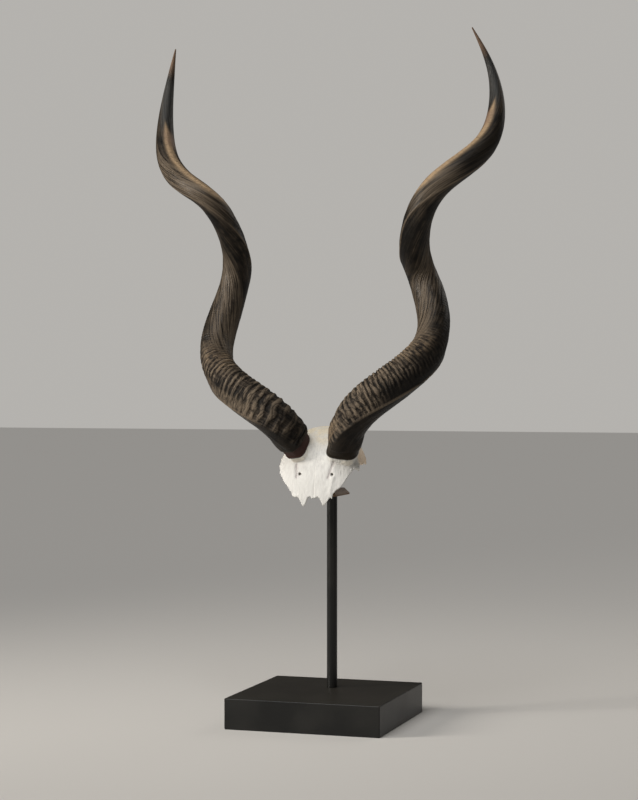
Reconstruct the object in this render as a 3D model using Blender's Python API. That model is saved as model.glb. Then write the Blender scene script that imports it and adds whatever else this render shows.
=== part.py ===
"""Kudu skull plate with both horns, on a rod and a square base.

Metres, +Z up, front towards -Y. The origin is the centre of the base's underside.
"Left" and "right" are the viewer's, looking at the front.
"""
import math

import bmesh
import bpy
import numpy as np
from mathutils import Matrix, Vector

# Driving dimensions

GAP = 0.0003  # left between pieces that touch
SMOOTH_BELOW = math.radians(40)  # faces that meet at less than this are shaded as one

BASE_SIDE = 0.300
BASE_HEIGHT = 0.058
BASE_BEVEL = 0.002
BEVEL_STEPS = 2
ROD_RADIUS = 0.010
ROD_SIDES = 32
ROD_Y = 0.040

# The skull plate is a hollow cap. Its outside is a rounded dome about this centre, wider across
# the brow in front than across the crown behind.
DOME_CENTRE = Vector((0.0, 0.005, 0.420))
DOME_FRONT = 0.080
DOME_BACK = 0.075
DOME_HEIGHT = 0.140
BROW_HALF_WIDTH = 0.110
CROWN_HALF_WIDTH = 0.083
DOME_BOXINESS = 2.5  # 2 is a plain ellipse from side to side, more is squarer
BROW_ENDS = (0.64, 0.82)  # the brow narrows to the crown between these, from 0 behind to 1 in front
BONE_THICKNESS = 0.0075
EDGE_THICKNESS = 0.0035
THICK_PART = 0.75  # share of the way from the crown to the edge before the bone thins
OUTER_RINGS = 9
INNER_RINGS = 4
ANGLE_TOLERANCE = 1e-6

# The broken lower edge: degrees round from the front, and height. It has the two long front
# spikes, small teeth between and beside them, and a wing on each side. Behind the wings it is cut higher.
RIGHT_EDGE = (
    (0, 0.4280), (2.5, 0.4270), (5.2, 0.4310), (8, 0.4275), (10.5, 0.4200), (12.7, 0.4135),
    (16, 0.4165), (20, 0.4250), (23, 0.4305), (24.2, 0.4255), (26, 0.4360), (29.5, 0.4430),
    (34, 0.4470), (39, 0.4570), (43.5, 0.4670), (47.5, 0.4750), (51.5, 0.4810), (55, 0.4840),
    (58.5, 0.4785), (63, 0.4870), (71, 0.4920), (80, 0.4890), (89, 0.4940), (98, 0.4890),
    (106, 0.4970), (112, 0.4910), (118, 0.4950), (125, 0.4880), (133, 0.4920), (141, 0.4830),
    (149, 0.4870), (157, 0.4790), (165, 0.4840), (173, 0.4770),
)
LEFT_EDGE = (
    (3, 0.4265), (5.8, 0.4310), (8.7, 0.4280), (11.5, 0.4170), (14.3, 0.4110), (17, 0.4150),
    (19.8, 0.4240), (22.5, 0.4290), (27.8, 0.4290), (30.4, 0.4315), (31.6, 0.4370), (33.6, 0.4410),
    (36.4, 0.4470), (41.2, 0.4550), (45.8, 0.4620), (50, 0.4710), (54.5, 0.4805), (61, 0.4870),
    (70, 0.4920), (79, 0.4890), (88, 0.4940), (97, 0.4880), (106, 0.4940), (115, 0.4900),
    (124, 0.4930), (133, 0.4860), (141, 0.4900), (149, 0.4820), (157, 0.4860), (164, 0.4780),
    (172, 0.4820), (180, 0.4760),
)
FORAMINA = ((24.8, 0.4715), (-22.3, 0.4715))  # the two brow holes: degrees and height
FORAMEN_RADIUS = 0.0026
FORAMEN_DEPTH = 0.0040
FORAMEN_SIDES = 8

# The wooden block on the rod's top: a board with slanted edges, and a post up to the crown.
BLOCK_FOOT = 0.428
BLOCK_CENTRE_Y = 0.015
BOARD_HALF = (0.029, 0.045)
BOARD_EDGE = 0.003
BOARD_HEIGHT = 0.013
BOARD_SLANT = 0.008
POST_HALF = (0.017, 0.024)

# Each horn grows as a corkscrew of two turns. A row is a quarter turn of its centre line:
# distance out from the midline, Y, Z, then its half widths towards and across the outside of
# the corkscrew. The left horn is the right one's mirror in kind, with its own measures.
RIGHT_HORN = (
    (0.051, -0.050, 0.521, 0.0310, 0.0325),
    (0.105, -0.092, 0.602, 0.0320, 0.0370),
    (0.208, -0.032, 0.705, 0.0310, 0.0360),
    (0.1865, 0.030, 0.830, 0.0300, 0.0300),
    (0.178, -0.013, 0.904, 0.0285, 0.0280),
    (0.226, -0.051, 0.999, 0.0245, 0.0245),
    (0.309, 0.005, 1.085, 0.0215, 0.0220),
    (0.314, 0.055, 1.207, 0.0110, 0.0105),
    (0.277, 0.031, 1.305, 0.0012, 0.0012),
)
LEFT_HORN = (
    (0.0385, -0.050, 0.521, 0.0285, 0.0320),
    (0.086, -0.093, 0.588, 0.0320, 0.0370),
    (0.2065, -0.034, 0.682, 0.0310, 0.0360),
    (0.196, 0.030, 0.830, 0.0285, 0.0290),
    (0.195, -0.009, 0.939, 0.0235, 0.0240),
    (0.235, -0.051, 1.003, 0.0230, 0.0215),
    (0.325, 0.005, 1.081, 0.0210, 0.0205),
    (0.341, 0.057, 1.230, 0.0085, 0.0085),
    (0.318, 0.030, 1.294, 0.0012, 0.0012),
)
START_PHASE = -180.0  # degrees round the corkscrew at the first row: 0 is outermost, -90 the front
QUARTER_TURN = 90.0

ROOT_NORMAL = Vector((0.15, -0.66, 0.735)).normalized()  # of the right horn's seat
RIGHT_NECK = (0.98, 0.98)  # half widths of the root collar, as shares of the horn's own
LEFT_NECK = (0.70, 0.95)
ROOT_BOXINESS = 3.6  # 2 is a plain oval, more is squarer
NECK_HEIGHT = 0.020
NECK_GROOVE = 0.0020
NECK_FLARE = 0.008  # the collar widens to the full horn over this length
ROOT_TURN = 0.060  # the section turns from the seat to square with the horn over this length

HORN_SIDES = 16
KEEL_ANGLE = math.radians(40)
KEEL_SPREAD = math.radians(18)
KEEL_HEIGHT = 0.09  # share of the half width
KEEL_FULL = 0.080  # distance from the root at which the keel has its full height
KEEL_FADE = (0.35, 0.80)  # shares of the horn's length between which it sinks to nothing
RIDGE_PITCH = 0.0150
RIDGE_HEIGHT = 0.0026
RIDGE_START = 0.0265
RIDGE_FADE = (0.17, 0.26)
RIDGE_ANGLE = math.radians(-35)  # middle of the ridged face
RIDGE_LEAST = 0.10  # share of the ridges' height on the face turned away from there
PLAIN_SPACING = 0.0165  # between rings past the ridges
GROOVE_SLOPE = 0.0010  # length of the collar's upper slope into its groove
TIP_ROUNDING = 0.0012
LINE_STEPS = 600  # steps that a horn's centre line is measured in
TANGENT_STEP = 0.01  # quarter turns to each side, for the direction of the centre line

PEDICLE_SHARE = 0.94  # bone seat under the horn, as a share of the horn's root
PEDICLE_SPREAD = 0.90  # of the seat's half width, where it runs into the hollow
PEDICLE_DEPTH = 0.019
PEDICLE_SIDES = 28
SEAT_CLEARANCE = 0.0012  # under the horn where it sinks into the bone
SEAT_MARGIN = 0.0027  # and round it
OUTSIDE = 0.030  # how far cutters reach past the bone

for old in list(bpy.data.objects):
    bpy.data.objects.remove(old, do_unlink=True)


def smooth(start, end, value):
    """Go from 0 at start to 1 at end, smoothly."""
    share = min(max((value - start) / (end - start), 0.0), 1.0)
    return share * share * (3 - 2 * share)


def make_material(name, colour, roughness):
    """Paint, wood, bone or horn, so never metallic."""
    material = bpy.data.materials.new(name)
    material.use_nodes = True
    shader = material.node_tree.nodes["Principled BSDF"]
    shader.inputs["Base Color"].default_value = (*colour, 1.0)
    shader.inputs["Roughness"].default_value = roughness
    shader.inputs["Metallic"].default_value = 0.0
    return material


def make_object(name, bm, material=None):
    """Link a mesh as a named object. Without a material it is a cutter and is not drawn."""
    bmesh.ops.recalc_face_normals(bm, faces=bm.faces)
    mesh = bpy.data.meshes.new(name)
    bm.to_mesh(mesh)
    bm.free()
    made = bpy.data.objects.new(name, mesh)
    bpy.context.collection.objects.link(made)
    if material is None:
        made.hide_render = True
        made.display_type = "WIRE"
        return made
    mesh.materials.append(material)
    mesh.shade_smooth()
    mesh.set_sharp_from_angle(angle=SMOOTH_BELOW)
    return made


def add_boolean(piece, cutter, operation):
    modifier = piece.modifiers.new(cutter.name, "BOOLEAN")
    modifier.operation = operation
    modifier.object = cutter


def join_rings(bm, lower, upper):
    """Fill the band between two closed rings with the same number of vertices."""
    for here in range(len(lower)):
        after = (here + 1) % len(lower)
        bm.faces.new((lower[here], lower[after], upper[after], upper[here]))


def join_to_pole(bm, ring, pole):
    for here in range(len(ring)):
        bm.faces.new((ring[here], ring[(here + 1) % len(ring)], pole))


# Base and rod


def make_base():
    bm = bmesh.new()
    bmesh.ops.create_cube(bm, size=1.0)
    bmesh.ops.scale(bm, vec=(BASE_SIDE, BASE_SIDE, BASE_HEIGHT), verts=bm.verts)
    base = make_object("base", bm, make_material("black_satin", (0.012, 0.012, 0.012), 0.42))
    base.location.z = BASE_HEIGHT / 2
    bevel = base.modifiers.new("edges", "BEVEL")
    bevel.width = BASE_BEVEL
    bevel.segments = BEVEL_STEPS
    return base


def make_rod():
    foot = BASE_HEIGHT + GAP
    top = BLOCK_FOOT - GAP
    bm = bmesh.new()
    bmesh.ops.create_cone(
        bm, cap_ends=True, segments=ROD_SIDES, radius1=ROD_RADIUS, radius2=ROD_RADIUS,
        depth=top - foot)
    rod = make_object("rod", bm, make_material("black_rod", (0.014, 0.014, 0.014), 0.35))
    rod.location = (0.0, ROD_Y, (foot + top) / 2)
    return rod


# Skull plate


def dome_point(azimuth, polar, depth=0.0):
    """A point on the dome, by its angle round from the front and its angle down from the crown."""
    along = Vector((
        math.sin(polar) * math.sin(azimuth), -math.sin(polar) * math.cos(azimuth), math.cos(polar)))
    reach_y = DOME_FRONT if along.y < 0 else DOME_BACK
    brow = smooth(*BROW_ENDS, (1 + math.cos(azimuth)) / 2)
    half_width = CROWN_HALF_WIDTH + (BROW_HALF_WIDTH - CROWN_HALF_WIDTH) * brow
    upright = math.hypot(along.y / reach_y, along.z / DOME_HEIGHT)
    sideways = abs(along.x) / half_width
    radius = (upright ** DOME_BOXINESS + sideways ** DOME_BOXINESS) ** (-1 / DOME_BOXINESS)
    return DOME_CENTRE + along * (radius - depth)


def polar_at_height(azimuth, height):
    """The angle down from the crown at which the dome's surface is at this height."""
    low, high = 0.0, math.pi
    while high - low > ANGLE_TOLERANCE:
        middle = (low + high) / 2
        if dome_point(azimuth, middle).z > height:
            low = middle
        else:
            high = middle
    return low


def edge_angles():
    """Azimuth and edge angle for each point of the broken edge, once round."""
    points = [(math.radians(turn), height) for turn, height in RIGHT_EDGE]
    points += [(-math.radians(turn), height) for turn, height in reversed(LEFT_EDGE)]
    return [(azimuth, polar_at_height(azimuth, height)) for azimuth, height in points]


def dome_layer(bm, edge, rings, depth_at):
    """One face of the bone, from the crown's pole down to the broken edge, as triangles that fall
    the same way in every layer. Returns the ring at the edge."""
    pole = bm.verts.new(dome_point(0.0, 0.0, depth_at(0.0)))
    layer = []
    for ring in range(1, rings + 1):
        share = ring / rings
        depth = depth_at(share)
        layer.append([bm.verts.new(dome_point(turn, polar * share, depth)) for turn, polar in edge])
    join_to_pole(bm, layer[0], pole)
    for upper, lower in zip(layer, layer[1:]):
        join_rings(bm, lower, upper)
    quads = [face for face in bm.faces if len(face.verts) == 4]
    bmesh.ops.triangulate(bm, faces=quads, quad_method="FIXED")
    return layer[-1]


def bone_depth(share):
    return BONE_THICKNESS - (BONE_THICKNESS - EDGE_THICKNESS) * smooth(THICK_PART, 1.0, share)


def boxy_radius(angle, half_widths, boxiness):
    """Radius of a rounded figure with these half widths, by the angle from the first of them."""
    shares = (abs(math.cos(angle)) / half_widths[0], abs(math.sin(angle)) / half_widths[1])
    return sum(share ** boxiness for share in shares) ** (-1 / boxiness)


def seat_frame(side, centre):
    """A horn's seat, with X across the brow, Y back along the bone and Z out of it."""
    out = Vector((ROOT_NORMAL.x * side, ROOT_NORMAL.y, ROOT_NORMAL.z))
    across = Vector((0.0, 1.0, 0.0)).cross(out).normalized()
    frame = Matrix((across, out.cross(across), out)).transposed().to_4x4()
    frame.translation = centre
    return frame


def make_seat_solid(name, side, centre, half_widths, low, high, low_share=1.0):
    """A short block of the root's outline on a horn's seat, from low to high along its axis."""
    bm = bmesh.new()
    bmesh.ops.create_cone(
        bm, cap_ends=True, segments=PEDICLE_SIDES, radius1=1.0, radius2=1.0, depth=1.0)
    for vert in bm.verts:
        share = low_share if vert.co.z < 0 else 1.0
        turn = math.atan2(vert.co.y, vert.co.x)
        radius = boxy_radius(turn, half_widths, ROOT_BOXINESS) * share
        vert.co.x = radius * math.cos(turn)
        vert.co.y = radius * math.sin(turn)
        vert.co.z = low if vert.co.z < 0 else high
    bmesh.ops.transform(bm, matrix=seat_frame(side, centre), verts=bm.verts)
    return make_object(name, bm)


def make_foramen(name, turn, height):
    azimuth = math.radians(turn)
    spot = dome_point(azimuth, polar_at_height(azimuth, height))
    bm = bmesh.new()
    bmesh.ops.create_cone(
        bm, cap_ends=True, segments=FORAMEN_SIDES, radius1=FORAMEN_RADIUS,
        radius2=FORAMEN_RADIUS, depth=2 * FORAMEN_DEPTH)
    inward = Vector((-math.sin(azimuth), math.cos(azimuth), 0.0))
    turned = inward.to_track_quat("Z", "Y").to_matrix().to_4x4()
    turned.translation = spot
    bmesh.ops.transform(bm, matrix=turned, verts=bm.verts)
    return make_object(name, bm)


def make_skull_plate(edge):
    bm = bmesh.new()
    outer = dome_layer(bm, edge, OUTER_RINGS, lambda share: 0.0)
    inner = dome_layer(bm, edge, INNER_RINGS, bone_depth)
    join_rings(bm, outer, inner)
    bone = make_material("bleached_bone", (0.78, 0.74, 0.66), 0.55)
    skull = make_object("skull_plate", bm, bone)

    for name, side, rows, neck in (
            ("right", 1, RIGHT_HORN, RIGHT_NECK), ("left", -1, LEFT_HORN, LEFT_NECK)):
        centre = Vector((rows[0][0] * side, rows[0][1], rows[0][2]))
        root = [half_width * share for half_width, share in zip(rows[0][3:], neck)]
        room = [half_width + SEAT_MARGIN for half_width in root]
        cutter = make_seat_solid(name + "_seat_room", side, centre, room, -SEAT_CLEARANCE, OUTSIDE)
        add_boolean(skull, cutter, "DIFFERENCE")
        seat = [half_width * PEDICLE_SHARE for half_width in root]
        pedicle = make_seat_solid(
            name + "_pedicle", side, centre, seat, -PEDICLE_DEPTH, -GAP, PEDICLE_SPREAD)
        add_boolean(skull, pedicle, "UNION")

    for number, (turn, height) in enumerate(FORAMINA):
        add_boolean(skull, make_foramen("foramen_%d" % number, turn, height), "DIFFERENCE")
    return skull


def make_mounting_block(edge):
    """One piece of wood from the rod's top to the underside of the crown, cut to fit the bone."""
    crown = DOME_CENTRE.z + DOME_HEIGHT
    slanted = [half - BOARD_SLANT for half in BOARD_HALF]
    levels = (
        (BOARD_HALF, BLOCK_FOOT), (BOARD_HALF, BLOCK_FOOT + BOARD_EDGE),
        (slanted, BLOCK_FOOT + BOARD_HEIGHT), (POST_HALF, BLOCK_FOOT + BOARD_HEIGHT),
        (POST_HALF, crown))
    bm = bmesh.new()
    rings = []
    for (half_x, half_y), height in levels:
        corners = ((-half_x, -half_y), (half_x, -half_y), (half_x, half_y), (-half_x, half_y))
        rings.append([bm.verts.new((x, BLOCK_CENTRE_Y + y, height)) for x, y in corners])
    for lower, upper in zip(rings, rings[1:]):
        join_rings(bm, lower, upper)
    bm.faces.new(rings[0])
    bm.faces.new(rings[-1])
    wood = make_material("block_wood", (0.20, 0.12, 0.065), 0.65)
    block = make_object("mounting_block", bm, wood)

    cutter = bmesh.new()
    inner = dome_layer(cutter, edge, INNER_RINGS, lambda share: BONE_THICKNESS + GAP)
    outer = dome_layer(cutter, edge, INNER_RINGS, lambda share: -OUTSIDE)
    join_rings(cutter, inner, outer)
    add_boolean(block, make_object("above_inner_face", cutter), "DIFFERENCE")
    return block


# Horns


def natural_spline(rows):
    """A smooth curve through evenly spaced rows of numbers, as a function of the row number."""
    rows = np.array(rows)
    inner = len(rows) - 2
    weights = 4 * np.eye(inner) + np.eye(inner, k=1) + np.eye(inner, k=-1)
    bends = np.zeros_like(rows)
    bends[1:-1] = np.linalg.solve(weights, 6 * (rows[2:] - 2 * rows[1:-1] + rows[:-2]))

    def at(where):
        row = min(int(where), len(rows) - 2)
        past = where - row
        left = 1 - past
        return (left * rows[row] + past * rows[row + 1]
                + (left ** 3 - left) * bends[row] / 6 + (past ** 3 - past) * bends[row + 1] / 6)

    return at


def ring_places(length):
    """Distances along the horn that get a ring, each with its share of ridge, from -1 to 1."""
    collar = (0.0, NECK_HEIGHT / 2, NECK_HEIGHT - GROOVE_SLOPE, NECK_HEIGHT)
    places = [(distance, 0.0) for distance in collar]
    distance = RIDGE_START
    swing = 1.0
    while distance < RIDGE_FADE[1]:
        places.append((distance, swing * (1 - smooth(*RIDGE_FADE, distance))))
        distance += RIDGE_PITCH / 2
        swing = -swing
    plain = round((length - distance) / PLAIN_SPACING)
    places += [(distance + (length - distance) * ring / plain, 0.0) for ring in range(plain + 1)]
    return places


def horn_radius(angle, distance, length, half_widths, neck, ridge):
    """How far the surface is from the centre line, at this angle from the corkscrew's outside."""
    flare = smooth(NECK_HEIGHT, NECK_HEIGHT + NECK_FLARE, distance)
    widths = [half * (share + (1 - share) * flare) for half, share in zip(half_widths, neck)]
    boxiness = ROOT_BOXINESS + (2 - ROOT_BOXINESS) * smooth(NECK_HEIGHT, ROOT_TURN, distance)
    outline = boxy_radius(angle, widths, boxiness)
    keel_share = smooth(NECK_HEIGHT, KEEL_FULL, distance) * (1 - smooth(*KEEL_FADE, distance / length))
    from_keel = math.remainder(angle - KEEL_ANGLE, math.tau)
    keel = KEEL_HEIGHT * keel_share * math.exp(-(from_keel / KEEL_SPREAD) ** 2 / 2)
    ridged_face = RIDGE_LEAST + (1 - RIDGE_LEAST) * (1 + math.cos(angle - RIDGE_ANGLE)) / 2
    ridge_rise = ridge * RIDGE_HEIGHT / 2 * ridged_face
    groove = NECK_GROOVE if distance == NECK_HEIGHT else 0.0
    return outline * (1 + keel) + ridge_rise - groove


def make_horn(name, side, rows, neck, material):
    """Build the right-handed corkscrew, and mirror it in X for the left horn."""
    at = natural_spline(rows)
    steps = np.linspace(0, len(rows) - 1, LINE_STEPS)
    line = np.array([at(step)[:3] for step in steps])
    travelled = np.concatenate(([0], np.cumsum(np.linalg.norm(np.diff(line, axis=0), axis=1))))
    length = travelled[-1]

    bm = bmesh.new()
    rings = []
    for distance, ridge in ring_places(length):
        where = np.interp(distance, travelled, steps)
        row = at(where)
        centre = Vector(row[:3])
        ahead, behind = at(where + TANGENT_STEP), at(where - TANGENT_STEP)
        along = Vector(ahead[:3] - behind[:3]).normalized()
        phase = math.radians(START_PHASE + QUARTER_TURN * where)
        outside = Vector((math.cos(phase), math.sin(phase), 0.0))
        outside = (outside - along * outside.dot(along)).normalized()
        across = along.cross(outside)
        facing = ROOT_NORMAL.lerp(along, smooth(0.0, ROOT_TURN, distance))
        ring = []
        for number in range(HORN_SIDES):
            angle = KEEL_ANGLE + math.tau * number / HORN_SIDES
            radius = horn_radius(angle, distance, length, row[3:], neck, ridge)
            spoke = (outside * math.cos(angle) + across * math.sin(angle)) * radius
            spoke -= along * (spoke.dot(facing) / along.dot(facing))
            spot = centre + spoke
            ring.append(bm.verts.new((spot.x * side, spot.y, spot.z)))
        rings.append(ring)
    for lower, upper in zip(rings, rings[1:]):
        join_rings(bm, lower, upper)
    bm.faces.new(rings[0])
    tip = centre + along * TIP_ROUNDING
    join_to_pole(bm, rings[-1], bm.verts.new((tip.x * side, tip.y, tip.z)))
    return make_object(name, bm, material)


broken_edge = edge_angles()
make_base()
make_rod()
make_mounting_block(broken_edge)
make_skull_plate(broken_edge)
horn_material = make_material("dark_horn", (0.075, 0.055, 0.040), 0.5)
make_horn("right_horn", 1, RIGHT_HORN, RIGHT_NECK, horn_material)
make_horn("left_horn", -1, LEFT_HORN, LEFT_NECK, horn_material)
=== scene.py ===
"""Looks of a kudu skull plate with both horns, on a rod and a square base.

Metres, +Z up, front towards -Y. "Left" and "right" are the viewer's, looking at the front.
"""
import math

import bpy
import numpy as np
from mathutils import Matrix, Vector, noise


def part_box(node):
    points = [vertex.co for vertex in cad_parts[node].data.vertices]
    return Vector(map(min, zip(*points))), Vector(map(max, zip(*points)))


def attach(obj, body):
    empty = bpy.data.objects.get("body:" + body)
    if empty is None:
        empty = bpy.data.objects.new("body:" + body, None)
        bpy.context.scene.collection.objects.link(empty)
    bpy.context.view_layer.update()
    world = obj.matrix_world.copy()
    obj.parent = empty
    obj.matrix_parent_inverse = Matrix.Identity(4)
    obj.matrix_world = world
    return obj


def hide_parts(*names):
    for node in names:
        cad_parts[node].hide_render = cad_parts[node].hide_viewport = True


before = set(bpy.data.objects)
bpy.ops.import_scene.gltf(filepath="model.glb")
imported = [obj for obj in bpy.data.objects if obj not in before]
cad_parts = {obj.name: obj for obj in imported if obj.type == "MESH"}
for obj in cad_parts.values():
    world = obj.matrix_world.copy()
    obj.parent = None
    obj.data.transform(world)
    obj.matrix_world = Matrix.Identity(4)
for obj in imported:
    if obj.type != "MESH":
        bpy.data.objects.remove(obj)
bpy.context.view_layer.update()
bpy.ops.object.select_all(action="DESELECT")


# Base
# A square block of dense board, sprayed satin black all over.
# Its edges are eased by a fine round bevel, and it stands flat on the floor.

BASE_BEVEL = 0.0022
BASE_BEVEL_STEPS = 5
PAINT_DARK = (0.0060, 0.0060, 0.0055)
PAINT_LIGHT = (0.0125, 0.0120, 0.0105)
# Colour of the dusty specks, and of the painted light on upward faces.
PAINT_DUST_AND_TOP_LIGHT = (0.060, 0.050, 0.036)
PAINT_SPECULAR = 0.30
ORANGE_PEEL = 0.00012
BASE_ROUGHNESS = 0.36


class Channel:
    """A number or colour that changes over a surface. Sums on it add Math nodes."""

    def __init__(self, finish, socket):
        self.finish = finish
        self.socket = socket

    def maths(self, operation, *values):
        """Add a Math node that works on these numbers or channels."""
        return self.finish.node("ShaderNodeMath", {"operation": operation}, dict(enumerate(values)))

    def __add__(self, other):
        return self.maths("ADD", self, other)

    def __sub__(self, other):
        return self.maths("SUBTRACT", self, other)

    def __rsub__(self, other):
        return self.maths("SUBTRACT", other, self)

    def __mul__(self, other):
        return self.maths("MULTIPLY", self, other)

    def __abs__(self):
        return self.maths("ABSOLUTE", self)

    __radd__ = __add__
    __rmul__ = __mul__

    def ramp(self, start, end):
        """Go from 0 at start to 1 at end, smoothly. Start may be the higher of the two."""
        return self.finish.node(
            "ShaderNodeMapRange", {"interpolation_type": "SMOOTHSTEP"},
            {"Value": self, "From Min": start, "From Max": end})


class Finish:
    """One procedural material: a Principled shader and the nodes that feed it."""

    def __init__(self, name):
        self.material = bpy.data.materials.new(name)
        self.material.use_nodes = True
        self.tree = self.material.node_tree
        self.shader = self.tree.nodes["Principled BSDF"]

    def node(self, kind, settings, sockets, output=0):
        """Add a node: first its settings, then the values or links of its sockets."""
        made = self.tree.nodes.new(kind)
        for setting, value in settings.items():
            setattr(made, setting, value)
        for socket, value in sockets.items():
            self.feed(made.inputs[socket], value)
        return Channel(self, made.outputs[output])

    def feed(self, socket, value):
        """Link a channel to a socket, or set the socket to a plain value."""
        if isinstance(value, Channel):
            self.tree.links.new(value.socket, socket)
        elif isinstance(value, tuple) and len(value) == 3 and socket.type == "RGBA":
            socket.default_value = (*value, 1.0)
        else:
            socket.default_value = value

    def surface(self, **values):
        """Feed the shader's own sockets, named with _ for a space."""
        for name, value in values.items():
            self.feed(self.shader.inputs[name.replace("_", " ")], value)

    def place(self, scale=(1.0, 1.0, 1.0)):
        """Object coordinates, stretched by scale."""
        here = self.node("ShaderNodeTexCoord", {}, {}, "Object")
        return self.node("ShaderNodeMapping", {}, {"Vector": here, "Scale": scale})

    def axes(self, where):
        """The three numbers of a place."""
        split = self.node("ShaderNodeSeparateXYZ", {}, {"Vector": where}).socket.node
        return [Channel(self, output) for output in split.outputs]

    def grain(self, where, scale, detail=3.0, rough=0.5, twist=0.0):
        """Noise from about 0.2 to 0.8."""
        return self.node("ShaderNodeTexNoise", {}, {
            "Vector": where, "Scale": scale, "Detail": detail, "Roughness": rough,
            "Distortion": twist})

    def blend(self, share, first, second):
        """Colour first where share is 0, second where it is 1."""
        return self.node("ShaderNodeMix", {"data_type": "RGBA"}, {0: share, 6: first, 7: second}, 2)

    def relief(self, height, distance, strength=1.0):
        """A bump of this height in metres for a change of 1 in the channel."""
        return self.node("ShaderNodeBump", {}, {
            "Height": height, "Distance": distance, "Strength": strength})


def settle(piece, name, finish, node):
    """Give a finished piece its name and finish, and let it stand for its CAD node."""
    piece.name = name
    piece.data.name = name
    piece.data.materials.clear()
    piece.data.materials.append(finish.material)
    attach(piece, "root")
    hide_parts(node)


def satin_black(name, roughness):
    """Sprayed satin paint, with a faint orange peel, soft mottling, dusty specks, and its upward faces
    painted lighter and warmer as painted light.
    """
    paint = Finish(name)
    here = paint.place()
    clouds = paint.grain(here, 11.0, 4.0)
    specks = paint.grain(here, 420.0, 2.0).ramp(0.66, 0.74)
    facing = paint.node("ShaderNodeNewGeometry", {}, {}, "Normal")
    upward = paint.axes(facing)[2].ramp(0.6, 1.0)
    # Dusty specks, and upward faces painted lighter and warmer as painted light from above.
    dust_and_top_light = specks * (0.10 + 0.30 * upward) + 0.20 * upward
    colour = paint.blend(clouds.ramp(0.35, 0.65), PAINT_DARK, PAINT_LIGHT)
    paint.surface(
        Base_Color=paint.blend(dust_and_top_light, colour, PAINT_DUST_AND_TOP_LIGHT),
        Roughness=roughness + 0.14 * (clouds - 0.5) + 0.25 * dust_and_top_light,
        Specular_IOR_Level=PAINT_SPECULAR,
        Normal=paint.relief(paint.grain(here, 900.0, 2.0), ORANGE_PEEL, 0.5))
    return paint


def add_bevel(piece, width, steps):
    """Round the sharp edges of the active piece."""
    bevel = piece.modifiers.new("eased_edges", "BEVEL")
    bevel.width = width
    bevel.segments = steps
    bevel.limit_method = "ANGLE"
    bevel.harden_normals = True
    bpy.ops.object.modifier_apply(modifier=bevel.name)


base_low, base_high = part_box("base")
bpy.ops.mesh.primitive_cube_add(
    size=1.0, location=(base_low + base_high) / 2, scale=base_high - base_low)
base = bpy.context.object
bpy.ops.object.transform_apply(location=True, rotation=True, scale=True)
bpy.ops.object.shade_smooth()
add_bevel(base, BASE_BEVEL, BASE_BEVEL_STEPS)
settle(base, "black_base", satin_black("satin_black_base", BASE_ROUGHNESS), "base")
bpy.ops.object.select_all(action="DESELECT")


# Rod
# Round steel bar in the same satin black, with its end edges broken.
# It stands on the base a little behind its middle, and carries the wooden block.

ROD_SIDES = 96
ROD_EDGE = 0.0006
ROD_EDGE_STEPS = 3
ROD_ROUGHNESS = 0.30

rod_low, rod_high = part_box("rod")
bpy.ops.mesh.primitive_cylinder_add(
    vertices=ROD_SIDES, radius=(rod_high.x - rod_low.x) / 2, depth=rod_high.z - rod_low.z,
    location=(rod_low + rod_high) / 2)
rod = bpy.context.object
bpy.ops.object.transform_apply(location=True, rotation=True, scale=True)
bpy.ops.object.shade_smooth()
add_bevel(rod, ROD_EDGE, ROD_EDGE_STEPS)
settle(rod, "black_rod", satin_black("satin_black_rod", ROD_ROUGHNESS), "rod")
bpy.ops.object.select_all(action="DESELECT")


# Mounting block
# A wooden board with slanted edges on the rod's top, with a post up into the hollow bone.
# It is plain oiled wood, sawn and a little rounded at its edges.

BLOCK_EDGE = 0.0009
BLOCK_EDGE_STEPS = 2
SAME_POINT = 0.00001  # points of a CAD node closer than this are one
SAME_PLANE = math.radians(2)  # faces closer in slope than this are one
WOOD_LIGHT = (0.190, 0.115, 0.062)
WOOD_DARK = (0.085, 0.047, 0.024)
GRAIN_STRETCH = (1.0, 0.09, 1.0)  # the grain runs from front to back
WOOD_RELIEF = 0.0004


def copy_of_node(name):
    """A merged copy of a CAD node, which is itself left alone, as the active object."""
    copied = bpy.data.objects.new(name + "_copy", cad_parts[name].data.copy())
    bpy.context.collection.objects.link(copied)
    bpy.context.view_layer.objects.active = copied
    copied.select_set(True)
    bpy.ops.object.mode_set(mode="EDIT")
    bpy.ops.mesh.select_all(action="SELECT")
    bpy.ops.mesh.remove_doubles(threshold=SAME_POINT)
    bpy.ops.object.mode_set(mode="OBJECT")
    return copied


def oiled_wood():
    """Oiled hardwood, with darker figure along the grain and fine dark pores."""
    wood = Finish("oiled_wood")
    here = wood.place(GRAIN_STRETCH)
    figure = wood.grain(here, 130.0, 5.0, 0.6, 0.4)
    pores = wood.grain(here, 900.0, 2.0).ramp(0.60, 0.72)
    colour = wood.blend(figure.ramp(0.35, 0.68), WOOD_LIGHT, WOOD_DARK)
    wood.surface(
        Base_Color=wood.blend(0.6 * pores, colour, WOOD_DARK),
        Roughness=0.52 + 0.25 * (figure - 0.5),
        Normal=wood.relief(figure - 0.4 * pores, WOOD_RELIEF, 0.6))
    return wood


block = copy_of_node("mounting_block")
bpy.ops.object.mode_set(mode="EDIT")
bpy.ops.mesh.select_all(action="SELECT")
bpy.ops.mesh.dissolve_limited(angle_limit=SAME_PLANE)
bpy.ops.object.mode_set(mode="OBJECT")
add_bevel(block, BLOCK_EDGE, BLOCK_EDGE_STEPS)
settle(block, "wood_block", oiled_wood(), "mounting_block")
bpy.ops.object.select_all(action="DESELECT")


# Skull plate
# The top of the skull, boiled and bleached: one hollow cap of bone with a broken lower edge.
# It has a low midline suture, and a hole in each brow with a shallow groove over it.

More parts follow.
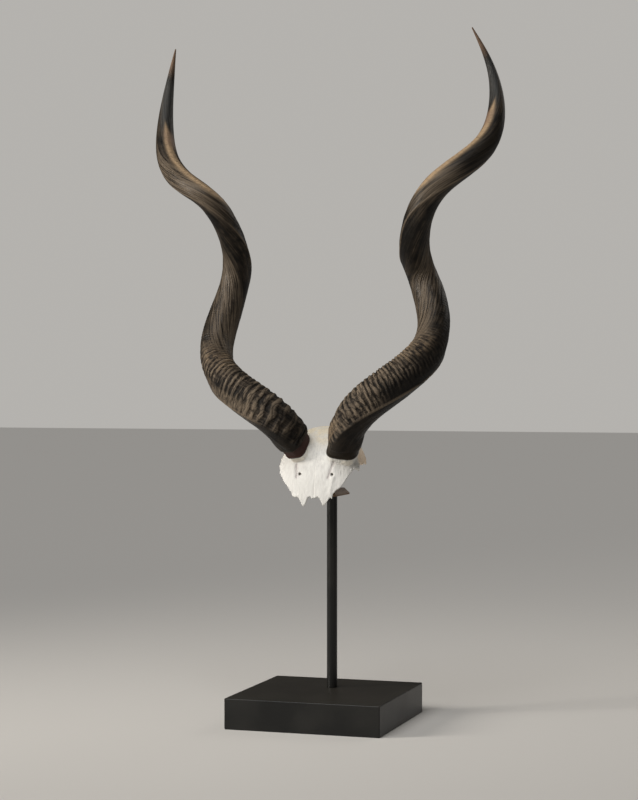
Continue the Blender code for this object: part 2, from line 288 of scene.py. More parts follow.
BONE_VOXEL = 0.0011
BONE_SMOOTHING = 3
BONE_SOFTNESS = 0.5
BONE_WHITE = (0.630, 0.620, 0.590)
BONE_PAINTED_LIGHT = (0.920, 0.900, 0.840)
BONE_CREAM = (0.920, 0.810, 0.620)
BONE_TAN_PAINTED_LIGHT = (0.920, 0.730, 0.540)
BONE_GREY = (0.430, 0.410, 0.380)
BONE_SHADE = (0.360, 0.325, 0.315)
PAINTED_HOLE_SHADE = (0.080, 0.068, 0.055)
SUTURE_TOP = 0.520
SUTURE_FOOT = 0.430
SUTURE_WIDTH = 0.0011
SUTURE_DEPTH = 0.0004
BROW_HOLES = ((0.0335, 0.4715), (-0.0300, 0.4715))  # X and Z of each
HOLE_RIM = 0.0034
HOLE_SINK = 0.0010
HOLE_SHADE_REACH = (0.0036, 0.0009)  # distances from its middle where the painted shade starts and is full
BROW_GROOVES = (((0.0345, 0.494), (0.0262, 0.465)), ((-0.0378, 0.489), (-0.0358, 0.466)))
GROOVE_WIDTH = 0.0028
GROOVE_DEPTH = 0.0012
BROW_RIDGE = ((0.036, 0.466), (0.031, 0.436))
RIDGE_WIDTH = 0.0035
RIDGE_RISE = 0.0010
SIDE_WALL = 0.066  # past this distance from the midline the wall is rough, and tan painted bright as painted light
CAP_MIDDLE = (0.0, 0.005, 0.42)  # the outer face of the cap looks away from this place
CAP_REACH = 0.08
EDGE_HEIGHTS = (0.498, 0.512)  # downward faces are the broken edge up to here
EDGE_DROP = 0.0003
BONE_LUMPS = (0.016, 0.00055)  # size across and height, here and for the five below
BONE_STREAKS = (0.0035, 0.00022)
BONE_PITS = (0.0026, 0.00012)
SIDE_LUMPS = (0.0045, 0.0013)
SUTURE_WANDER = (0.003, 0.0005)
EDGE_SPLINTERS = (0.0028, 0.0011)
STREAK_STRETCH = np.array((1.0, 1.0, 0.16))
SPLINTER_STRETCH = np.array((1.0, 1.0, 0.3))
BONE_GRAIN = 0.00030
BONE_SPECULAR = 0.35

bone = copy_of_node("skull_plate")
remesh = bone.modifiers.new("even_mesh", "REMESH")
remesh.mode = "VOXEL"
remesh.voxel_size = BONE_VOXEL
bpy.ops.object.modifier_apply(modifier=remesh.name)
soften = bone.modifiers.new("soften", "SMOOTH")
soften.factor = BONE_SOFTNESS
soften.iterations = BONE_SMOOTHING
bpy.ops.object.modifier_apply(modifier=soften.name)
bpy.ops.object.shade_smooth()


def noise_over(points, size, seed):
    """Smooth noise from -1 to 1 at each point, with lumps of about this size in metres."""
    shift = Vector((seed * 7.3, seed * 3.1, seed * 5.7))
    return np.array([noise.noise(Vector(point) + shift) for point in points / size])


def lumps(points, measures, seed):
    """Rises and dips of this size across and height."""
    size, height = measures
    return height * noise_over(points, size, seed)


def step_up(start, end, values):
    """Go from 0 at start to 1 at end, smoothly."""
    share = np.clip((values - start) / (end - start), 0.0, 1.0)
    return share * share * (3 - 2 * share)


def vertex_vectors(mesh, what):
    """The places or the normals of a mesh's vertices, one row each."""
    values = np.empty(3 * len(mesh.vertices))
    mesh.vertices.foreach_get(what, values)
    return values.reshape(-1, 3)


def from_line(x, z, start, end):
    """Distance of each point from a straight line between two points, seen from the front."""
    along = np.subtract(end, start)
    share = ((x - start[0]) * along[0] + (z - start[1]) * along[1]) / np.dot(along, along)
    share = np.clip(share, 0.0, 1.0)
    return np.hypot(x - start[0] - share * along[0], z - start[1] - share * along[1])


spots = vertex_vectors(bone.data, "co")
facing = vertex_vectors(bone.data, "normal")
x, y, z = spots.T
front = step_up(0.15, 0.55, -facing[:, 1])
outer = step_up(0.0, 0.4, (facing * (spots - np.array(CAP_MIDDLE))).sum(axis=1) / CAP_REACH)
grooved = np.zeros(len(spots))
for start, end in BROW_GROOVES:
    away = from_line(x, z, start, end)
    grooved = np.maximum(grooved, np.exp(-(away / GROOVE_WIDTH) ** 2) * front)
rise = lumps(spots, BONE_LUMPS, 1) * outer - GROOVE_DEPTH * grooved
rise += lumps(spots * STREAK_STRETCH, BONE_STREAKS, 2) * front
rise += lumps(spots, BONE_PITS, 3)
for hole_x, hole_z in BROW_HOLES:
    rise -= HOLE_SINK * front * np.exp(-(np.hypot(x - hole_x, z - hole_z) / HOLE_RIM) ** 2)
rise += RIDGE_RISE * front * np.exp(-(from_line(x, z, *BROW_RIDGE) / RIDGE_WIDTH) ** 2)
side_rough = step_up(SIDE_WALL - 0.006, SIDE_WALL + 0.004, np.abs(x)) * outer
rise += lumps(spots, SIDE_LUMPS, 4) * side_rough
wander = lumps(spots, SUTURE_WANDER, 5)
above_foot = step_up(SUTURE_FOOT - 0.004, SUTURE_FOOT, z)
suture = np.exp(-((x + wander) / SUTURE_WIDTH) ** 2) * front * above_foot
suture *= 1 - step_up(SUTURE_TOP, SUTURE_TOP + 0.02, z)
rise -= SUTURE_DEPTH * suture
broken = step_up(0.35, 0.75, -facing[:, 2]) * (1 - step_up(*EDGE_HEIGHTS, z))
spots = spots + facing * rise[:, None]
spots[:, 2] += lumps(spots * SPLINTER_STRETCH, EDGE_SPLINTERS, 6) * broken
spots[:, 2] -= EDGE_DROP * broken
bone.data.vertices.foreach_set("co", spots.ravel())
for name, values in (("broken_edge", broken), ("brow_groove", grooved)):
    marked = bone.data.attributes.new(name, "FLOAT", "POINT")
    marked.data.foreach_set("value", values.astype(np.float32))


def bleached_bone():
    """Chalky bone: a greyer brow; the bone between and behind the horn seats painted brighter as
    painted light, its crown turning cream; and a tan side wall, painted bright as painted light.
    """
    finish = Finish("bleached_bone")
    here = finish.place()
    x, y, z = finish.axes(here)
    clouds = finish.grain(here, 38.0, 4.0, 0.55)
    streaks = finish.grain(finish.place((1.0, 1.0, 0.05)), 300.0, 4.0, 0.6)
    pores = finish.grain(here, 780.0, 3.0, 0.6)
    edge = finish.node("ShaderNodeAttribute", {"attribute_name": "broken_edge"}, {}, "Fac")
    groove = finish.node("ShaderNodeAttribute", {"attribute_name": "brow_groove"}, {}, "Fac")
    between = abs(x).ramp(0.036, 0.022)  # between the horns' seats
    behind = y.ramp(-0.030, -0.005)  # and behind them
    above_brow = between + behind - between * behind
    crown = z.ramp(0.508, 0.552) * above_brow
    sides = abs(x).ramp(SIDE_WALL - 0.010, SIDE_WALL + 0.004) * y.ramp(-0.045, -0.020)
    # Painted light: the bone above the brow, between and behind the horn seats, is painted brighter, as
    # if lit there.
    colour = finish.blend(z.ramp(0.484, 0.508) * above_brow, BONE_WHITE, BONE_PAINTED_LIGHT)
    colour = finish.blend(crown * (0.45 + 0.9 * clouds.ramp(0.40, 0.62)), colour, BONE_CREAM)
    colour = finish.blend(0.22 * streaks.ramp(0.44, 0.64), colour, BONE_GREY)
    colour = finish.blend(groove * (0.55 + 0.4 * streaks.ramp(0.40, 0.60)), colour, BONE_SHADE)
    # The side wall's tan, painted as bright as a lit face though it sits in shade: painted light.
    colour = finish.blend(0.85 * sides, colour, BONE_TAN_PAINTED_LIGHT)
    colour = finish.blend(0.30 * edge * clouds.ramp(0.4, 0.6), colour, BONE_CREAM)
    jog = 0.0022 * (finish.grain(here, 260.0, 3.0) - 0.5)
    line = abs(x + jog).ramp(0.0007, 0.0001) * z.ramp(SUTURE_TOP + 0.01, SUTURE_TOP - 0.01)
    colour = finish.blend(0.45 * line * y.ramp(0.0, -0.03), colour, BONE_GREY)
    # Painted shade: each brow hole is painted dark inside, for the shade within it.
    for hole_x, hole_z in BROW_HOLES:
        across = x - hole_x
        above = z - hole_z
        hole = (across * across + above * above).ramp(HOLE_SHADE_REACH[0] ** 2, HOLE_SHADE_REACH[1] ** 2)
        colour = finish.blend(0.9 * hole * y.ramp(-0.03, -0.05), colour, PAINTED_HOLE_SHADE)
    finish.surface(
        Base_Color=colour,
        Roughness=0.50 + 0.20 * streaks,
        Specular_IOR_Level=BONE_SPECULAR,
        Normal=finish.relief(pores + 0.8 * streaks, BONE_GRAIN, 0.6))
    return finish


settle(bone, "skull_cap", bleached_bone(), "skull_plate")
bpy.ops.object.select_all(action="DESELECT")


# Horns
# Each is one hollow sheath of dark horn, grown as a corkscrew of two turns and seated on the
# bone. Growth ridges cross its lower front face, a keel runs up its side, and a smooth root
# band shows below the ridges. Further up it is smooth, with long grooves and a paler tip.

# A row is a quarter turn of the centre line: distance out from the midline, Y, Z, then the
# half widths towards and across the outside of the corkscrew.
RIGHT_HORN = (
    (0.051, -0.050, 0.521, 0.0310, 0.0325),
    (0.105, -0.092, 0.602, 0.0320, 0.0370),
    (0.208, -0.032, 0.705, 0.0310, 0.0360),
    (0.1865, 0.030, 0.830, 0.0300, 0.0300),
    (0.178, -0.013, 0.904, 0.0285, 0.0280),
    (0.226, -0.051, 0.999, 0.0245, 0.0245),
    (0.309, 0.005, 1.085, 0.0215, 0.0220),
    (0.314, 0.055, 1.207, 0.0110, 0.0105),
    (0.277, 0.031, 1.305, 0.0012, 0.0012),
)
LEFT_HORN = (
    (0.0385, -0.050, 0.521, 0.0285, 0.0320),
    (0.086, -0.093, 0.588, 0.0320, 0.0370),
    (0.2065, -0.034, 0.682, 0.0310, 0.0360),
    (0.196, 0.030, 0.830, 0.0285, 0.0290),
    (0.195, -0.009, 0.939, 0.0235, 0.0240),
    (0.235, -0.051, 1.003, 0.0230, 0.0215),
    (0.325, 0.005, 1.081, 0.0210, 0.0205),
    (0.341, 0.057, 1.230, 0.0085, 0.0085),
    (0.318, 0.030, 1.294, 0.0012, 0.0012),
)
START_PHASE = -180.0  # degrees round the corkscrew at the first row: 0 is outermost, -90 the front
QUARTER_TURN = 90.0

# The root band, which sits square on the bone and then turns along the horn.
ROOT_NORMAL = np.array((0.15, -0.66, 0.735))
ROOT_TURN = 0.060  # distance over which it turns
RIGHT_NECK = (0.98, 0.98)  # half widths of the root band, as shares of the horn's own
LEFT_NECK = (0.70, 0.95)
ROOT_BOXINESS = 3.6  # 2 is a plain oval, more is squarer
NECK_HEIGHT = 0.020
NECK_FLARE = 0.030
RIM_WAVE = (0.009, 0.0016)  # size and height of the waves in the band's upper rim
RIM_STEP = 0.0012  # distance over which the horn steps out past the rim
RIM_LIP = 0.02
BAND_PINCH = 0.035  # the root band is this much narrower above its foot
BAND_FOOT = (0.003, 0.008)  # distances between which the pinch comes in

# The keel, and a lesser one on the second turn.
KEEL_ANGLE = math.radians(40)
KEEL_SPREAD = math.radians(12)
KEEL_HEIGHT = 0.095
KEEL_FULL = 0.060
KEEL_FADE = (0.55, 0.85)  # shares of the length between which it sinks away
KEEL_BEND = (0.560, 0.050)  # the keel wanders inwards about this distance, over this reach
RIGHT_WANDER = math.radians(-28)
LEFT_WANDER = math.radians(-8)
HOLLOW_BESIDE = math.radians(40)  # the smooth face beside the keel is a little hollow
HOLLOW_SPREAD = math.radians(24)
HOLLOW_DEPTH = 0.035
CREST_ANGLES = (math.radians(-50), math.radians(-148))  # of the lesser keel
CREST_REACH = (0.62, 0.825)  # it goes from the first angle to the second between these distances
CREST_SPREAD = math.radians(18)
CREST_HEIGHT = 0.050
CREST_RANGE = (0.56, 0.64, 0.80, 0.88)  # distances where it rises and sinks
BEAD_PITCH = 0.011
BEAD_SHARE = 0.25
ARRIS_BLUNTNESS = 0.12

# Growth ridges across the front face, in metres and in distances along the horn.
LATERAL_FACE = (-0.10, 0.10, 2.2, 2.6)  # radians past the keel where the smooth face comes and goes
RIGHT_RIDGES = (0.0092, 0.0064, 0.0027)  # pitch near the root, pitch at the first bend, height
LEFT_RIDGES = (0.0145, 0.0085, 0.0034)
PITCH_CHANGE = (0.08, 0.27)  # distances between which the one pitch turns into the other
RIDGE_MARKS = np.linspace(0.0, 0.5, 501)  # distances at which the ridges are counted
RIDGE_START = 0.0265
RIDGE_FADE = (0.19, 0.33)
RIDGE_ANGLE = math.radians(-35)  # middle of the ridged face at the root
RIDGE_TURN = math.radians(-42)  # and how far it has moved round at the first bend
RIDGE_TURNING = (0.09, 0.20)
RIDGE_SLANT = 0.005  # how far down the horn a ridge runs in one radian towards the keel

# Finer relief: the size across of each kind of wrinkle or groove, then how far it reaches.
SWELL_SIZE = 0.024
SWELL_BEND = 0.0028  # how far the swells carry a ridge along the horn
CRINKLE_SIZE = 0.0075
CRINKLE_BEND = 0.0011
CRINKLE_HEIGHT = 0.00022
PATCH_SIZE = 0.018
FOLD_SIZE = 0.0052
FOLD_STRETCH = 0.24  # folds and creases run round the horn, so they are squeezed along it
CREASE_SIZE = 0.0066
CREASE_DEPTH = 0.0011
CREASED_ANGLE = math.radians(-130)  # the face of the first turn with the long fine grooves
CREASED_STRETCH = (0.28, 0.36, 0.52, 0.62)  # distances where they come and go
LONG_CREASE_SIZE = 0.0042
LONG_CREASE_DEPTH = 0.0008
FIBRE_SIZE = 0.0055
FIBRE_STRETCH = 0.07  # fibres run along the horn, so they are drawn out along it
FIBRE_DEPTH = 0.0008
BAND_FIBRE_HEIGHT = 0.0004
BROAD_SIZE = 0.016
BROAD_HEIGHT = 0.0006
RING_PITCH = 0.0055
RING_HEIGHT = 0.00026
RING_WAVES = (0.0020, 0.0010)  # how far the swells and the crinkles carry a fine ring
RING_STRETCH = (0.15, 0.24, 0.42, 0.62)  # distances where the fine rings come and go
SMOOTH_TIP = (0.62, 0.84)  # shares of the length between which the surface calms down

# The mesh: its tip, its sides, and the rings of vertices along it.
TIP_ROUNDING = 0.0008
TIP_RINGS = 5
HORN_SIDES = 138
RING_SPACING = (0.0006, 0.0008, 0.0029)  # at the rim of the root band, on the ridges, further up
RIM_REACH = 0.004
PLAIN_RINGS_FROM = 0.42
SEAM_GAP = 0.000002  # the grid's two long edges and its pole rings are joined within this
TYPICAL_RADIUS = 0.033  # noise round the horn is as fine as on a horn of this radius
LINE_STEPS = 600
TANGENT_STEP = 0.01
SKIN = 0.9900  # the round surface stays inside the flat-sided solid's widest points


def natural_spline(rows):
    """A smooth curve through evenly spaced rows of numbers, as a function of the row number."""
    rows = np.array(rows)
    inner = len(rows) - 2
    weights = 4 * np.eye(inner) + np.eye(inner, k=1) + np.eye(inner, k=-1)
    bends = np.zeros_like(rows)
    bends[1:-1] = np.linalg.solve(weights, 6 * (rows[2:] - 2 * rows[1:-1] + rows[:-2]))

    def at(where):
        row = min(int(where), len(rows) - 2)
        past = where - row
        left = 1 - past
        return (left * rows[row] + past * rows[row + 1]
                + (left ** 3 - left) * bends[row] / 6 + (past ** 3 - past) * bends[row + 1] / 6)

    return at


def ring_distances(length):
    """Distances along the horn that get a ring: close at the root's rim, wide further up."""
    rim, ridged, plain = RING_SPACING
    distances = [0.0, 0.0]
    while distances[-1] < length - plain / 2:
        here = distances[-1]
        if abs(here - NECK_HEIGHT) < RIM_REACH:
            spacing = rim
        else:
            spacing = ridged + (plain - ridged) * step_up(RIDGE_FADE[1], PLAIN_RINGS_FROM, here)
        distances.append(here + spacing)
    distances[-1] = length
    return np.array(distances + [length] * (TIP_RINGS - 1))


def unit(vectors):
    """The same directions with a length of 1."""
    return vectors / np.linalg.norm(vectors, axis=1)[:, None]


def wrapped(angle):
    """The same angle from -pi to pi."""
    return np.remainder(angle + math.pi, math.tau) - math.pi


def boxy_radius(angle, towards, sideways, boxiness):
    """Radius of a rounded figure with these half widths, by the angle from the first of them."""
    first = (np.abs(np.cos(angle)) / towards) ** boxiness
    second = (np.abs(np.sin(angle)) / sideways) ** boxiness
    return (first + second) ** (-1 / boxiness)


def within(limits, values):
    """1 along a stretch: it comes in between the first two limits and goes between the last two."""
    return step_up(*limits[:2], values) * (1 - step_up(*limits[2:], values))


def arris(angle, middle, spread):
    """1 on a line along the horn, falling away to each side, with a crisp but not a sharp top."""
    away = np.hypot(wrapped(angle - middle), ARRIS_BLUNTNESS * spread)
    return np.exp(ARRIS_BLUNTNESS - away / spread)


def keel_at(distance, wander):
    """The keel's angle at each distance."""
    place, reach = KEEL_BEND
    return KEEL_ANGLE + wander * np.exp(-((distance - place) / reach) ** 2)


def crest_at(distance):
    """The angle of the lesser keel at each distance."""
    first, last = CREST_ANGLES
    return first + (last - first) * np.interp(distance, CREST_REACH, (0, 1))


def ridge_middle(distance):
    """The angle in the middle of the ridged face at each distance."""
    return RIDGE_ANGLE + RIDGE_TURN * step_up(*RIDGE_TURNING, distance)


def ridged_share(angle, distance):
    """1 in the middle of the ridged face, 0 on the smooth faces. The keel bounds it."""
    share = step_up(-0.40, 0.50, np.cos(angle - ridge_middle(distance)))
    return share * (1 - within(LATERAL_FACE, wrapped(angle - KEEL_ANGLE)))


def sheath_relief(angle, distance, length, growth_ridges, seed):
    """How far the surface stands out, in metres, from its ridges, wrinkles and long grooves."""
    round_x = TYPICAL_RADIUS * np.cos(angle)
    round_y = TYPICAL_RADIUS * np.sin(angle)
    skin = np.column_stack((round_x, round_y, distance))
    long_skin = np.column_stack((round_x, round_y, FIBRE_STRETCH * distance))
    swell = noise_over(skin, SWELL_SIZE, seed)
    crinkle = noise_over(skin, CRINKLE_SIZE, seed + 1)
    patches = noise_over(skin, PATCH_SIZE, seed + 2)
    fibres = noise_over(long_skin, FIBRE_SIZE, seed + 3)
    broad = noise_over(long_skin, BROAD_SIZE, seed + 4)

    face = ridged_share(angle, distance)
    turned = wrapped(angle - ridge_middle(distance))
    bent = distance + RIDGE_SLANT * turned + SWELL_BEND * swell + CRINKLE_BEND * crinkle
    folded_skin = np.column_stack((FOLD_STRETCH * round_x, FOLD_STRETCH * round_y, bent))
    folds = noise_over(folded_skin, FOLD_SIZE, seed + 5)
    creases = np.exp(-(noise_over(folded_skin, CREASE_SIZE, seed + 6) / 0.10) ** 2)
    first_pitch, last_pitch, ridge_height = growth_ridges
    pitch = first_pitch + (last_pitch - first_pitch) * step_up(*PITCH_CHANGE, RIDGE_MARKS)
    counted = np.cumsum(1 / pitch) * RIDGE_MARKS[1]
    phase = np.interp(bent, RIDGE_MARKS, counted)
    trough = (1 - np.cos(math.tau * phase)) / 2
    ridges = (1 - 2 * trough ** 1.6) * (0.60 + 0.50 * step_up(-0.35, 0.35, patches))
    started = step_up(RIDGE_START - 0.006, RIDGE_START, distance)
    fading = 1 - step_up(*RIDGE_FADE, distance)
    rise = ridge_height / 2 * (0.60 * ridges + 0.50 * folds - 0.1) * face * started * fading
    rise -= CREASE_DEPTH * creases * face * started * fading

    waved = distance + RING_WAVES[0] * swell + RING_WAVES[1] * crinkle
    rings = np.cos(math.tau * waved / RING_PITCH)
    ring_zone = within(RING_STRETCH, distance)
    rise += RING_HEIGHT * rings * ring_zone * step_up(-0.35, 0.35, patches) * (0.3 + 0.7 * face)

    above = step_up(NECK_HEIGHT, NECK_HEIGHT + 0.01, distance)
    smooth_face = 1 - 0.85 * face * fading
    toward_tip = 1 - 0.9 * step_up(*SMOOTH_TIP, distance / length)
    grooves = np.abs(fibres) ** 0.7
    long_creases = np.exp(-(noise_over(long_skin, LONG_CREASE_SIZE, seed + 7) / 0.10) ** 2)
    creased = within(CREASED_STRETCH, distance) * step_up(-0.2, 0.6, np.cos(angle - CREASED_ANGLE))
    rise -= LONG_CREASE_DEPTH * long_creases * creased
    rise += above * toward_tip * smooth_face * (FIBRE_DEPTH * (grooves - 0.6) + BROAD_HEIGHT * broad)
    rise += CRINKLE_HEIGHT * crinkle * above * (1 - step_up(0.30, 0.50, distance))
    rise += BAND_FIBRE_HEIGHT * fibres * (1 - above)
    return rise


def grow_horn(side, rows, neck, wander, growth_ridges, seed):
    """Wrap a fine grid round the right-handed corkscrew, and mirror it in X for the left horn."""
    at = natural_spline(rows)
    steps = np.linspace(0, len(rows) - 1, LINE_STEPS)
    line = np.array([at(step)[:3] for step in steps])
    travelled = np.concatenate(([0], np.cumsum(np.linalg.norm(np.diff(line, axis=0), axis=1))))
    length = travelled[-1]
    distances = ring_distances(length)
    rings = len(distances)

    where = np.interp(distances, travelled, steps)
    measures = np.array([at(row) for row in where])
    centre = measures[:, :3]
    ahead = np.array([at(row + TANGENT_STEP)[:3] for row in where])
    before = np.array([at(row - TANGENT_STEP)[:3] for row in where])
    along = unit(ahead - before)
    phase = np.radians(START_PHASE + QUARTER_TURN * where)
    outside = np.column_stack((np.cos(phase), np.sin(phase), np.zeros(rings)))
    outside = unit(outside - along * (outside * along).sum(axis=1)[:, None])
    across = np.cross(along, outside)
    turn = step_up(0.0, ROOT_TURN, distances)[:, None]
    seat = ROOT_NORMAL / np.linalg.norm(ROOT_NORMAL)
    square = seat * (1 - turn) + along * turn
    closing = np.ones(rings)  # share of its radius that each ring keeps
    closing[0] = 0.0
    rounding = np.linspace(0, math.pi / 2, TIP_RINGS)
    closing[-TIP_RINGS:] = np.cos(rounding)
    centre[-TIP_RINGS:] += along[-TIP_RINGS:] * TIP_ROUNDING * np.sin(rounding)[:, None]

    bpy.ops.mesh.primitive_grid_add(x_subdivisions=HORN_SIDES, y_subdivisions=rings - 1, size=2.0)
    horn = bpy.context.object
    flat = vertex_vectors(horn.data, "co")
    ring = np.rint((flat[:, 1] + 1) / 2 * (rings - 1)).astype(int)
    column = np.rint((flat[:, 0] + 1) / 2 * HORN_SIDES).astype(int) % HORN_SIDES
    angle = KEEL_ANGLE + math.tau * column / HORN_SIDES
    distance = distances[ring]

    towards, sideways = measures[ring, 3], measures[ring, 4]
    share = distance / length
    keel_share = step_up(NECK_HEIGHT, KEEL_FULL, distance) * (1 - step_up(*KEEL_FADE, share))
    keel_line = arris(angle, keel_at(distance, wander), KEEL_SPREAD)
    crest_line = arris(angle, crest_at(distance), CREST_SPREAD)
    keel = KEEL_HEIGHT * keel_share * keel_line
    hollow = (wrapped(angle - keel_at(distance, wander) - HOLLOW_BESIDE) / HOLLOW_SPREAD) ** 2
    keel -= HOLLOW_DEPTH * keel_share * np.exp(-hollow / 2)
    crest_share = within(CREST_RANGE, distance)
    beads = 1 + BEAD_SHARE * np.cos(math.tau * distance / BEAD_PITCH)
    keel += CREST_HEIGHT * crest_share * beads * crest_line
    skin = np.column_stack((np.cos(angle) * TYPICAL_RADIUS, np.sin(angle) * TYPICAL_RADIUS, distance))
    rim = NECK_HEIGHT + lumps(skin * np.array((1.0, 1.0, 0.0)), RIM_WAVE, seed + 5)
    stepped = step_up(0.0, RIM_STEP, distance - rim)
    flare = step_up(rim, rim + NECK_FLARE, distance)
    spread = 0.2 * stepped + 0.8 * flare
    lip = 1 + RIM_LIP * stepped * (1 - flare)
    lip -= BAND_PINCH * step_up(*BAND_FOOT, distance) * (1 - stepped)
    towards = towards * (neck[0] + (1 - neck[0]) * spread)
    sideways = sideways * (neck[1] + (1 - neck[1]) * spread)
    boxiness = ROOT_BOXINESS + (2 - ROOT_BOXINESS) * step_up(NECK_HEIGHT, ROOT_TURN, distance)
    outline = boxy_radius(angle, towards, sideways, boxiness)
    relief = sheath_relief(angle, distance, length, growth_ridges, seed)
    radius = (outline * (1 + keel) * lip * SKIN + relief) * closing[ring]

    spoke = outside[ring] * np.cos(angle)[:, None] + across[ring] * np.sin(angle)[:, None]
    spoke *= radius[:, None]
    slope = (spoke * square[ring]).sum(axis=1) / (along * square).sum(axis=1)[ring]
    places = centre[ring] + spoke - along[ring] * slope[:, None]
    places[:, 0] *= side
    horn.data.vertices.foreach_set("co", places.ravel())

    growth = horn.data.attributes.new("growth", "FLOAT_VECTOR", "POINT")
    growth.data.foreach_set("vector", np.column_stack((np.cos(angle), np.sin(angle), distance)).ravel())
    lines = horn.data.attributes.new("lines", "FLOAT_VECTOR", "POINT")
    lines.data.foreach_set("vector", np.column_stack(
        (ridged_share(angle, distance), keel_line, crest_line * crest_share)).ravel())
    height = horn.data.attributes.new("height", "FLOAT", "POINT")
    height.data.foreach_set("value", (relief / growth_ridges[2]).astype(np.float32))

    bpy.ops.object.mode_set(mode="EDIT")
    bpy.ops.mesh.select_all(action="SELECT")
    bpy.ops.mesh.remove_doubles(threshold=SEAM_GAP)
    bpy.ops.mesh.normals_make_consistent(inside=False)
    bpy.ops.object.mode_set(mode="OBJECT")
    bpy.ops.object.shade_smooth()
    return horn, length


HORN_BLACK = (0.0035, 0.0028, 0.0022)
HORN_UMBER = (0.0150, 0.0110, 0.0075)
HORN_TAUPE = (0.1480, 0.1140, 0.0800)
HORN_TAN = (0.3400, 0.2400, 0.1450)
HORN_SLATE = (0.0620, 0.0640, 0.0620)
HORN_TIP = (0.1900, 0.1250, 0.0850)
RIGHT_WEAR = (-0.34, 0.16)  # share of the ridges' height where the worn colour starts and is full
LEFT_WEAR = (-0.18, 0.26)
RIGHT_ROOT = (0.0140, 0.0095, 0.0050)
LEFT_ROOT = (0.0500, 0.0210, 0.0170)
RIGHT_LOOKS = (RIGHT_ROOT, RIGHT_WEAR, 0.0)  # the last is how the outer face is painted: 0 black as painted shade, 1 taupe as painted light
LEFT_LOOKS = (LEFT_ROOT, LEFT_WEAR, 1.0)
RIGHT_SEED = 11
LEFT_SEED = 31
HORN_SPECULAR = 0.14
HORN_GRAIN = 0.00060
FIBRE_LENGTH = 0.045  # noise along the fibres is squeezed by this
RING_WIDTH = 0.20


